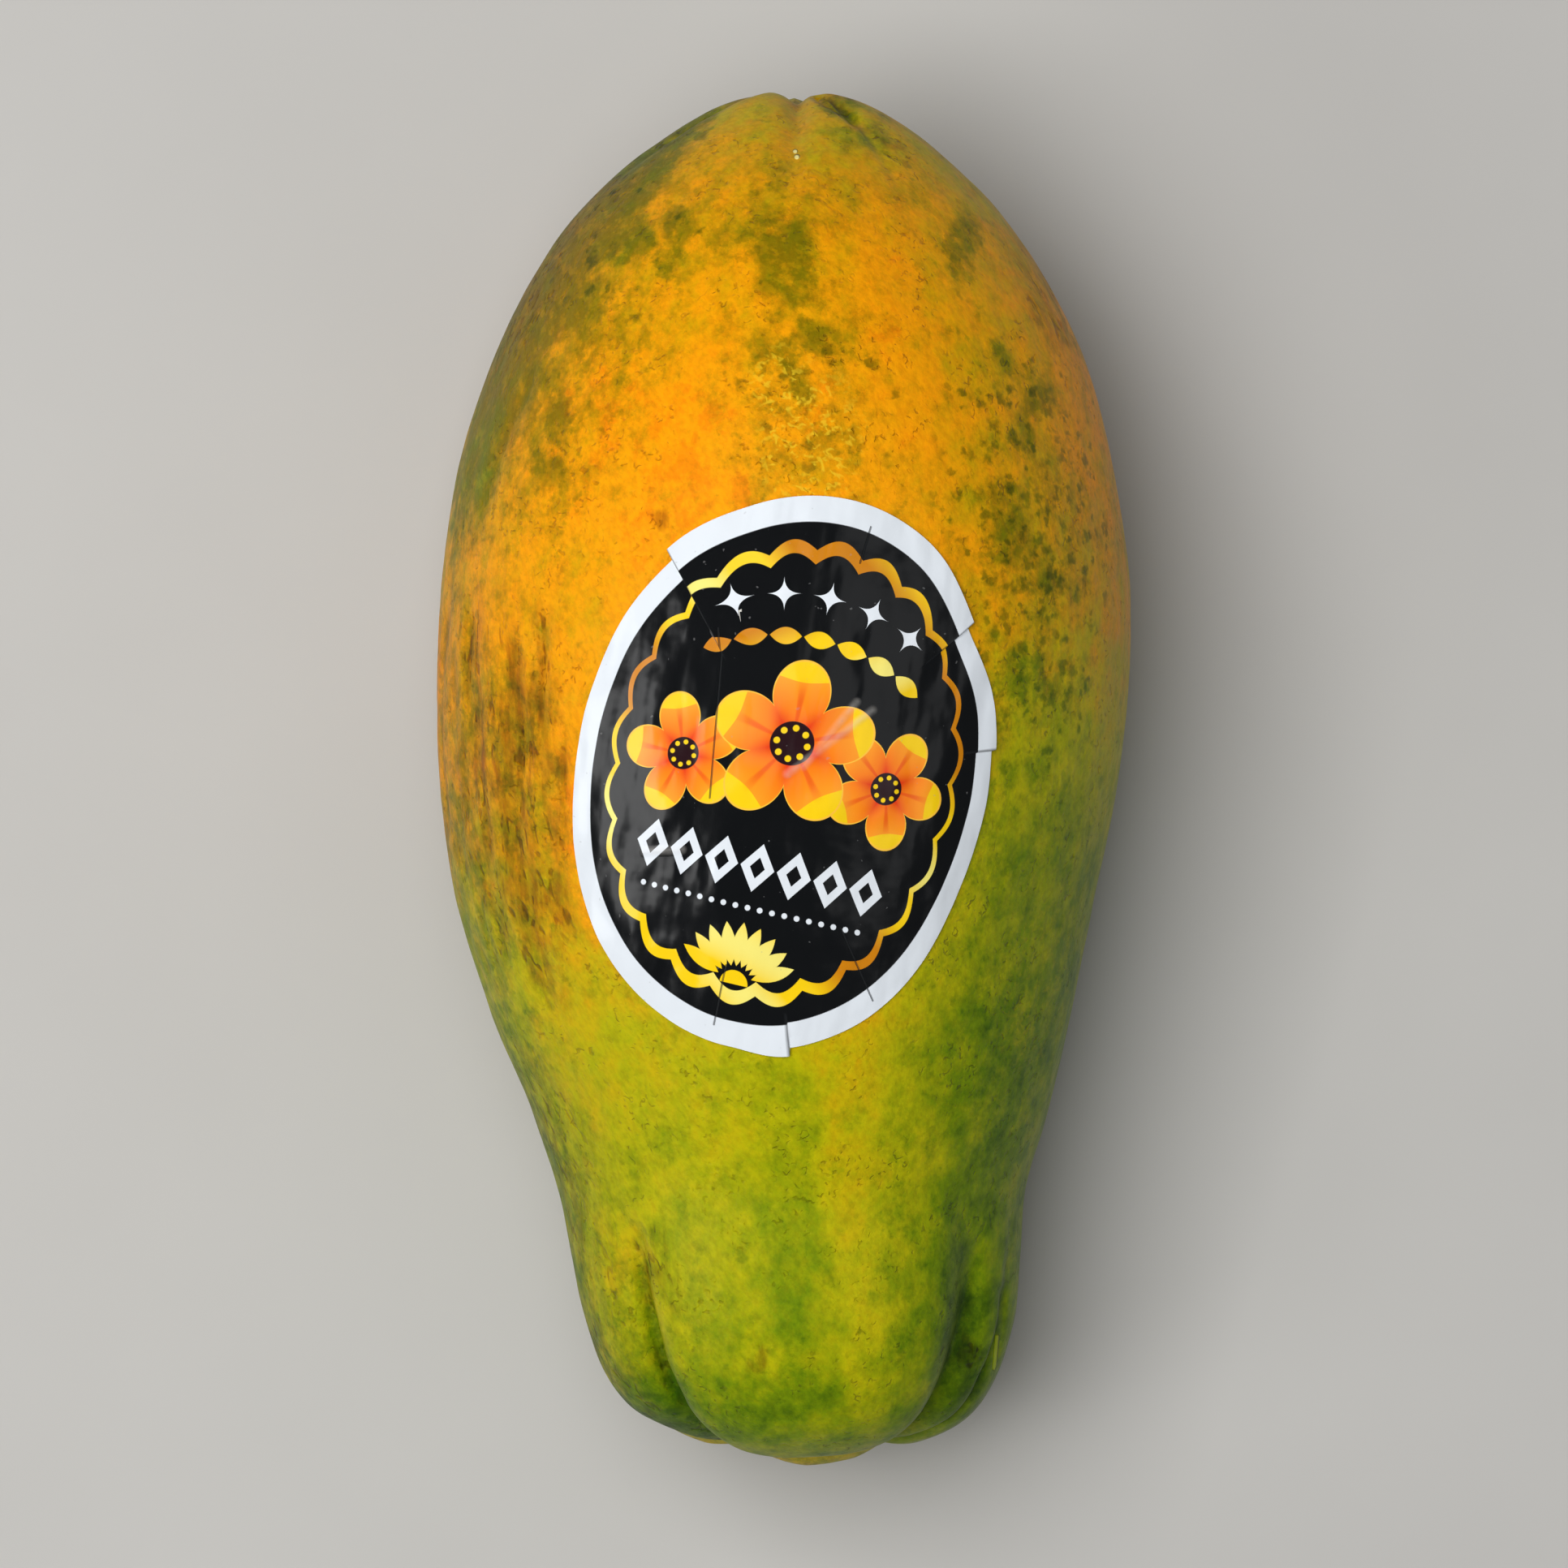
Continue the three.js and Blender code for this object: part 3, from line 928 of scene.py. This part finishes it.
# Pleats: clock angle in degrees from the label's right-hand side, how far the edges of the upper and lower
# layers stand out, over how many degrees that fades (negative where the upper layer lies clockwise), the
# share of the way out from the middle at which the pleat starts, and how high the upper layer is
PLEATS = [
    (138.5, 0.9, -0.8, -24, 0.48, 0.7),
    (44.5, -1.1, -2.3, 22, 0.66, 0.5),
    (15.3, 0.3, -0.4, 13, 0.82, 0.4),
    (287, 1.1, 0, -16, 0.86, 0.4),
]
PLEAT_STEPS = np.array([pleat[0] for pleat in PLEATS])
# Half the angle between the two spokes at a pleat's step
PLEAT_PAIR = 0.15
# How far a pleat pushes the print round, in its height
PRINT_SLIP = 3.6
LABEL_SEED = 40
# Where the film is crumpled: middle and radius
CRUMPLE = (-15.5, 24.5, 4.5)
CRUMPLE_HEIGHT = 0.7


def pleat_values(clock, share):
    """How far the pleats push places on the label out, how far they lift them, and how far round they push
    the print."""
    out = np.zeros_like(clock)
    height = np.zeros_like(clock)
    slip = np.zeros_like(clock)
    for middle, upper, lower, fade, start, lift in PLEATS:
        side = math.copysign(1, fade)
        turn = np.mod((clock - middle) * side + 180, 360) - 180
        near = 1 - smooth(np.abs(turn), 0, abs(fade))
        raised = lift * near * (turn > 0)
        out += np.where(turn > 0, upper, lower) * near * smooth(share, start, 1)
        height = np.maximum(height, raised * smooth(share, start, 1))
        slip += side * raised * smooth(share, start, start + 0.2)
    return out, height, slip


def label_points(across, up, height):
    """Points over the skin for places on the flat label, given from its middle."""
    dense = np.linspace(0, LABEL_PROFILE, 3000)
    line = profile_at(dense)
    along = LABEL_ALONG + up * math.cos(LABEL_TILT) - across * math.sin(LABEL_TILT)
    share = np.interp(-along, -line[:, 0], dense)
    sideways = across * math.cos(LABEL_TILT) + up * math.sin(LABEL_TILT)
    angle = LABEL_ANGLE + sideways / np.interp(share, dense, line[:, 1])
    return surface(share, angle, height)


def off_pleats(clock):
    """How many degrees each clock angle is from the nearest pleat's step."""
    return np.min(np.abs(clock[:, None] - PLEAT_STEPS), axis=1)


def label_clocks():
    """The label's spokes: evenly spaced, with a close pair at each pleat's step."""
    even = np.arange(LABEL_SPOKES) * 360 / LABEL_SPOKES
    clear = off_pleats(even) > 2 * PLEAT_PAIR
    return np.sort(np.concatenate([even[clear], PLEAT_STEPS - PLEAT_PAIR, PLEAT_STEPS + PLEAT_PAIR]))


def label_height(flat, share, lift, on_front):
    """How high points of the label are over the skin, with ripples, curled edges, a crumple and pleats."""
    ripple = 0.1 + 0.1 * noise(flat, 15, LABEL_SEED) + 0.03 * noise(flat, 5, LABEL_SEED + 1)
    curl = 0.3 * smooth(share, 0.9, 1) * np.maximum(noise(flat, 18, LABEL_SEED + 2), 0)
    middle_x, middle_y, reach = CRUMPLE
    crumpled = np.exp(-((flat[:, 0] - middle_x) ** 2 + (flat[:, 1] - middle_y) ** 2) / reach ** 2)
    ripple += CRUMPLE_HEIGHT * crumpled * np.maximum(noise(flat, 2.6, LABEL_SEED + 3), 0)
    return LABEL_LIFT + ripple + curl + lift + LABEL_FILM * on_front


def set_label_map(label, faces, flat, on_front):
    """Lays the label's front out in the left half of its map, and its back in the right half."""
    reach = 2.1 * LABEL_HALF_LENGTH
    places = np.stack([0.25 + flat[:, 0] / (2 * reach), 0.5 + flat[:, 1] / reach], -1)
    places[:, 0] += np.where(on_front, 0, 0.5)
    set_map(label, places[[point for face in faces for point in face]])


def label_sheet(scale, shift):
    """The label as a thin closed sheet on the skin, which keeps its print's places in millimetres."""
    clocks = label_clocks()
    front = np.arange(1, LABEL_RINGS + 1) / LABEL_RINGS
    back = np.arange(LABEL_BACK_RINGS, 0, -1) / LABEL_BACK_RINGS
    ring = np.concatenate([front, back])
    share = np.concatenate([[0], np.repeat(ring, len(clocks)), [0]])
    clock = np.concatenate([[0], np.tile(clocks, len(ring)), [0]])
    on_front = np.arange(len(share)) < 1 + len(front) * len(clocks)

    out, lift, slip = pleat_values(clock, share)
    turn = np.radians(clock)
    grown = 1 + out / LABEL_HALF_WIDTH
    across = LABEL_HALF_WIDTH * share * grown * np.cos(turn)
    up = LABEL_HALF_LENGTH * share * grown * np.sin(turn)
    flat = np.stack([across, up, np.zeros_like(up)], -1)
    points = label_points(across, up, label_height(flat, share, lift, on_front)) * scale + shift
    faces, _ = closed_rings([1] + [len(clocks)] * len(ring) + [1])
    label = new_object("label_film", points, faces)
    label.data.set_sharp_from_angle(angle=LABEL_SHARP)

    printed = turn + PRINT_SLIP * slip / LABEL_HALF_LENGTH
    set_amounts(label, "print_across", LABEL_HALF_WIDTH * share * np.cos(printed))
    set_amounts(label, "print_up", LABEL_HALF_LENGTH * share * np.sin(printed))
    set_amounts(label, "printed", on_front)
    set_amounts(label, "fold", (off_pleats(clock) < 2 * PLEAT_PAIR) * (lift > 0.02))
    set_label_map(label, faces, flat, on_front)
    label.data.materials.append(label_material())
    return label


# The label's print, in millimetres from the label's middle
BLACK = linear(9, 11, 13)
WHITE = linear(226, 232, 238)
PALE_GOLD = linear(246, 232, 120)
GOLD = linear(250, 208, 14)
DEEP_GOLD = linear(206, 128, 6)
ORANGE = linear(252, 128, 14)
RED_ORANGE = linear(232, 62, 14)
DARK_SEED = linear(38, 14, 20)
PETAL_RIM = linear(255, 196, 60)
PALE_ORANGE = linear(255, 158, 30)
PETALS = [(0.3, RED_ORANGE), (0.62, ORANGE), (1.0, PALE_ORANGE), (1.0, GOLD)]
GOLD_FOIL = [(0.1, DEEP_GOLD), (0.5, GOLD), (0.85, GOLD), (1.0, PALE_GOLD)]
DUST = linear(150, 150, 150)
SHINE = linear(210, 206, 200)
SHADE = linear(30, 32, 34)
PAPER = linear(206, 204, 196)
INK_EDGE = 0.07
LABEL_BUMP = 1
# The rim and the scalloped line, as shares of the way out from the middle
RIM_START = 0.907
RIM_EDGE = 0.002
LINE_PLACE = 0.8
LINE_SWING = 0.042
LINE_SCALLOPS = 24
LINE_HALF_WIDTH = 0.012
LINE_SWELL = 0.014
LINE_EDGE = 0.0015
# Rings of ornaments: middle, pitch in degrees, most steps each way from the top, and the ring's radius
STAR_RING = ((0, -4), 13, 2, 35.5)
LEAF_RING = ((0, -12), 9.5, 3, 36)
RAY_RING = ((0, -38), 16, 4, 7.2)
STAR_SIZE = 3.1
LEAF_SIZE = (2.8, 1.5)
RAY_SIZE = (3.9, 1.25)
SUN_LEVEL = -38
SUN_RADIUS = 2.5
# Rows of ornaments: level, pitch, most steps each way from the middle, and size
LOZENGE_ROW = (-17, 6.6, 3, 4.3)
LOZENGE_RIM = 2.4
DOT_ROW = (-24.2, 2.2, 9, 0.5)
# Blossoms: middle, radius and turn in degrees
BLOSSOMS = [(-18.4, -0.5, 10.6, 20), (18.4, 1.5, 10.6, -20), (0, 5.5, 14.4, 4)]
# Narrow slits cut in the film: from and to
SLITS = [
    ((4.2, 45.4), (3.7, 38.8)),
    ((-17, 23), (-11.6, -7)),
    ((24.6, -35.5), (16.8, -24.1)),
    ((-1.8, -35), (-2.3, -46)),
]
# Folds in the film that catch the light
FOLDS = [
    ((12.2, 14.3), (0.6, 0.1)),
    ((9, 15), (3, 2)),
    ((-21, -19), (-14, -17)),
]


def inside(distance):
    """1 where a distance in millimetres is below zero, with a soft ink edge."""
    return rise(-distance, -INK_EDGE, INK_EDGE)


def nearest_step(value, pitch, most):
    """The whole number of pitches nearest to a value, up to most each way."""
    step = (value / pitch).combined("ROUND")
    return smallest(largest(step, -most), most)


def repeated(x, y, middle, pitch, most, ring):
    """Places round a ring about a middle, repeated every pitch degrees, up to most steps each way from the
    top. They are given across and outwards from the ring."""
    right = x - middle[0]
    high = y - middle[1]
    turn = right.combined("ARCTAN2", high)
    local = turn - nearest_step(turn, math.radians(pitch), most) * math.radians(pitch)
    radius = length_of(right, high)
    return radius * local.combined("SINE"), radius * local.combined("COSINE") - ring


def leaf_shape(x, y, half_length, half_width):
    """A pointed leaf that lies along x."""
    return absolute(y) - (1 - (x / half_length) ** 2) * half_width


def gold_of(x, y, turn):
    """Gold foil colours that change along a direction."""
    wave = (x * math.cos(turn) + y * math.sin(turn)) * 0.16
    return ramp(wave.combined("SINE") * 0.5 + 0.5, GOLD_FOIL)


def print_blossom(colour, x, y, blossom):
    """A five-petalled blossom with a dark middle and a ring of golden dots."""
    middle_x, middle_y, size, turn = blossom
    right = x - middle_x
    high = y - middle_y
    radius = length_of(right, high)
    angle = right.combined("ARCTAN2", high) + math.radians(turn)
    petal = absolute((angle * 2.5).combined("COSINE"))
    edge = (petal ** 0.75 * 0.5 + 0.5) * size
    share = radius / size
    petals = ramp(share + petal * 0.25, PETALS)
    petals = blend(rise(petal, 0.97, 1) * rise(-share, -0.85, -0.5) * 0.6, petals, RED_ORANGE)
    colour = blend(inside(radius - edge - 0.35), colour, PETAL_RIM)
    colour = blend(inside(radius - edge), colour, petals)
    colour = blend(inside(radius - size * 0.27), colour, DARK_SEED)
    across, outward_place = repeated(x, y, (middle_x, middle_y), 45, 4, size * 0.19)
    return blend(inside(length_of(across, outward_place) - size * 0.04), colour, GOLD)


def print_rim_and_line(x, y):
    """The black field inside its white rim, with the scalloped gold line."""
    right = x / LABEL_HALF_WIDTH
    high = y / LABEL_HALF_LENGTH
    share = length_of(right, high)
    turn = right.combined("ARCTAN2", high)
    colour = blend(rise(share, RIM_START - RIM_EDGE, RIM_START + RIM_EDGE), BLACK, WHITE)
    scallop = absolute((turn * (LINE_SCALLOPS / 2)).combined("COSINE"))
    line = share - LINE_PLACE - (scallop - 0.5) * LINE_SWING
    half_width = LINE_HALF_WIDTH + absolute(turn.combined("COSINE")) ** 3 * LINE_SWELL
    on_line = rise(half_width - absolute(line), -LINE_EDGE, LINE_EDGE)
    return blend(on_line, colour, gold_of(x, y, 0.9))


def print_rows(colour, x, y):
    """A row of white lozenges and a row of white dots."""
    level, pitch, most, size = LOZENGE_ROW
    aside = x - nearest_step(x, pitch, most) * pitch
    lozenge = absolute(aside) * 1.4 + absolute(y - level) - size
    colour = blend(inside(lozenge), colour, WHITE)
    colour = blend(inside(lozenge + LOZENGE_RIM), colour, BLACK)
    level, pitch, most, size = DOT_ROW
    aside = x - nearest_step(x, pitch, most) * pitch
    return blend(inside(length_of(aside, y - level) - size), colour, WHITE)


def printed_colour(x, y):
    """The label's printed face: a white rim, a black field, a scalloped gold line and plain ornaments."""
    colour = print_rim_and_line(x, y)
    across, outward_place = repeated(x, y, *STAR_RING)
    star = (absolute(across) ** 0.5 + absolute(outward_place) ** 0.5) ** 2
    colour = blend(inside(star - STAR_SIZE), colour, WHITE)
    across, outward_place = repeated(x, y, *LEAF_RING)
    colour = blend(inside(leaf_shape(across, outward_place, *LEAF_SIZE)), colour, gold_of(x, y, 2.2))
    for blossom in BLOSSOMS:
        colour = print_blossom(colour, x, y, blossom)
    colour = print_rows(colour, x, y)
    across, outward_place = repeated(x, y, *RAY_RING)
    colour = blend(inside(leaf_shape(outward_place, across, *RAY_SIZE)), colour, gold_of(x, y, 1.3))
    sun = largest(length_of(x, y - SUN_LEVEL) - SUN_RADIUS, SUN_LEVEL - y)
    return blend(inside(sun), colour, GOLD)


def nearest_of(x, y, stretches):
    """The distance to the nearest of some straight stretches."""
    return functools.reduce(smallest, [segment_distance(x, y, start, end) for start, end in stretches])


def label_material():
    """Glossy printed film, with thin slits, and plain paper on its back and edge."""
    material, tree, shader = material_of("label_film")
    x = amount(tree, "print_across")
    y = amount(tree, "print_up")
    printed = rise(amount(tree, "printed"), 0.4, 0.9)
    in_slit = rise(-nearest_of(x, y, SLITS), -0.2, -0.08)
    on_fold = rise(-nearest_of(x, y, FOLDS), -1.1, 0)
    colour = printed_colour(x, y)
    colour = blend(on_fold * grain(tree, 2, detail=3) * 0.4, colour, SHINE)
    dust = rise(grain(tree, 1.1, detail=1), 0.76, 0.8)
    colour = blend(dust * 0.25, colour, DUST)
    colour = blend(largest(in_slit * 0.7, amount(tree, "fold") * 0.75), colour, SHADE)
    colour = blend(printed, PAPER, colour)
    tree.links.new(colour.socket, shader.inputs["Base Color"])
    roughness = grain(tree, 9, detail=3) * 0.12 + 0.14 + in_slit * 0.4 + (1 - printed) * 0.4
    tree.links.new(roughness.socket, shader.inputs["Roughness"])
    waves = grain(tree, 9, (0.7, 1.8, 1), detail=1.5, turn=-8) + grain(tree, 3, detail=1) * 0.06
    add_bump(tree, shader, waves - in_slit * 0.2 + on_fold * 0.1, LABEL_BUMP)
    return material


# The stage, in metres. The frame's width is measured at the level of the fruit's widest line.
CAMERA_HEIGHT = 1.55
CAMERA_ALONG = 0.0006
SENSOR_WIDTH = 36
FRAME_WIDTH = 0.285
FRAME_LEVEL = 0.0562
FLOOR_SIZE = 8
FLOOR_LEVEL = -0.0001
LIGHT_AIM = (0, 0, 0.05)
# Lights: name, place, size, power in watts, and whether glossy surfaces mirror them
LIGHTS = [
    ("key_light", (-0.38, 0.1, 1.45), 1, 21, False),
    ("window_light", (-1.15, -0.4, 1.05), 0.6, 3, True),
    ("fill_light", (0.9, -0.2, 1.6), 1.2, 2, True),
]
FLOOR_COLOURS = (linear(190, 188, 184), linear(199, 197, 193))
WORLD_COLOUR = linear(214, 216, 220)
WORLD_STRENGTH = 0.14


def floor_material():
    """Pale matt plaster with a faint unevenness."""
    material, tree, shader = material_of("pale_floor")
    colour = blend(grain(tree, 90, detail=4), *FLOOR_COLOURS)
    tree.links.new(colour.socket, shader.inputs["Base Color"])
    shader.inputs["Roughness"].default_value = 0.8
    return material


def add_floor():
    half = FLOOR_SIZE / 2 / MM
    level = FLOOR_LEVEL / MM
    corners = [(-half, -half, level), (half, -half, level), (half, half, level), (-half, half, level)]
    floor = new_object("floor", corners, [(0, 1, 2, 3)])
    floor.data.materials.append(floor_material())


def add_light(name, place, size, power, mirrored):
    """A square soft light that faces the fruit."""
    data = bpy.data.lights.new(name, "AREA")
    data.shape = "SQUARE"
    data.size = size
    data.energy = power
    light = bpy.data.objects.new(name, data)
    light.location = place
    way = Vector(LIGHT_AIM) - Vector(place)
    light.rotation_euler = way.to_track_quat("-Z", "Y").to_euler()
    light.visible_camera = False
    light.visible_glossy = mirrored
    bpy.context.scene.collection.objects.link(light)


def add_world():
    """A faint even light from all sides."""
    world = bpy.data.worlds.new("soft_room")
    world.use_nodes = True
    background = world.node_tree.nodes["Background"]
    background.inputs["Color"].default_value = WORLD_COLOUR
    background.inputs["Strength"].default_value = WORLD_STRENGTH
    bpy.context.scene.world = world


def add_camera():
    """A camera straight above, which sees the whole of the photograph's frame."""
    data = bpy.data.cameras.new("camera")
    data.sensor_width = SENSOR_WIDTH
    data.lens = data.sensor_width * (CAMERA_HEIGHT - FRAME_LEVEL) / FRAME_WIDTH
    camera = bpy.data.objects.new("camera", data)
    camera.location = (0, CAMERA_ALONG, CAMERA_HEIGHT)
    bpy.context.scene.collection.objects.link(camera)
    bpy.context.scene.camera = camera
    bpy.context.scene.view_settings.view_transform = "Standard"


fruit, box_scale, box_shift = fruit_skin()
label = label_sheet(box_scale, box_shift)
for piece, node, slot in ((fruit, "fruit", "skin"), (label, "label", "label")):
    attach(piece, "root")
    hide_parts(node)

add_floor()
for light in LIGHTS:
    add_light(*light)
add_world()
add_camera()
